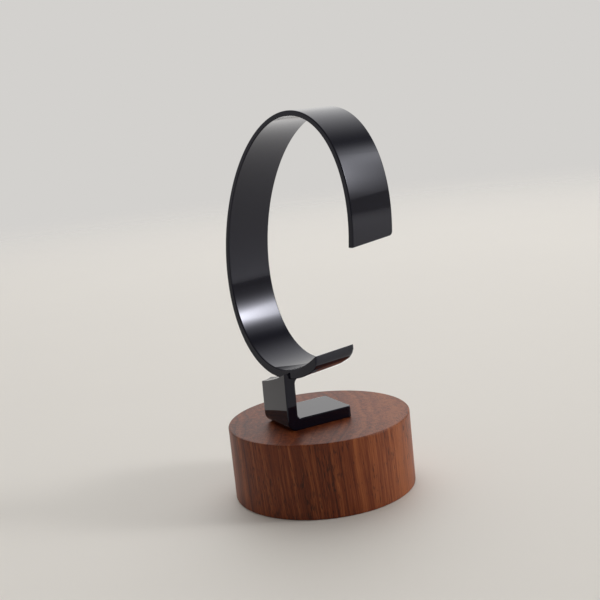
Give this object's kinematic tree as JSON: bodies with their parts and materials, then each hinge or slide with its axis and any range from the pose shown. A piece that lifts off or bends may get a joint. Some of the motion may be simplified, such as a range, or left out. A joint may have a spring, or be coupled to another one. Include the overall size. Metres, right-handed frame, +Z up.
{
  "type": "watch stand",
  "caption": "Watch display stand: a leaning, C-shaped plastic cuff on a short flat post and foot, screwed from below to a round wooden block.",
  "frame": {"origin": "centre of the block's flat underside", "axes": "+Z up; +Y along the width of the cuff's strip, away from the side where the post stands; +X towards the cuff's opening"},
  "size_m": [0.0693, 0.06, 0.124],
  "materials": {
    "walnut": "satin, clear-coated walnut with vertical grain on its side",
    "black_plastic": "high gloss black",
    "screw_steel": "bright zinc-plated steel"
  },
  "bodies": {
    "root": {"base": "walnut", "watch_holder": "black_plastic", "fixing_screws": "screw_steel"}
  },
  "joints": []
}
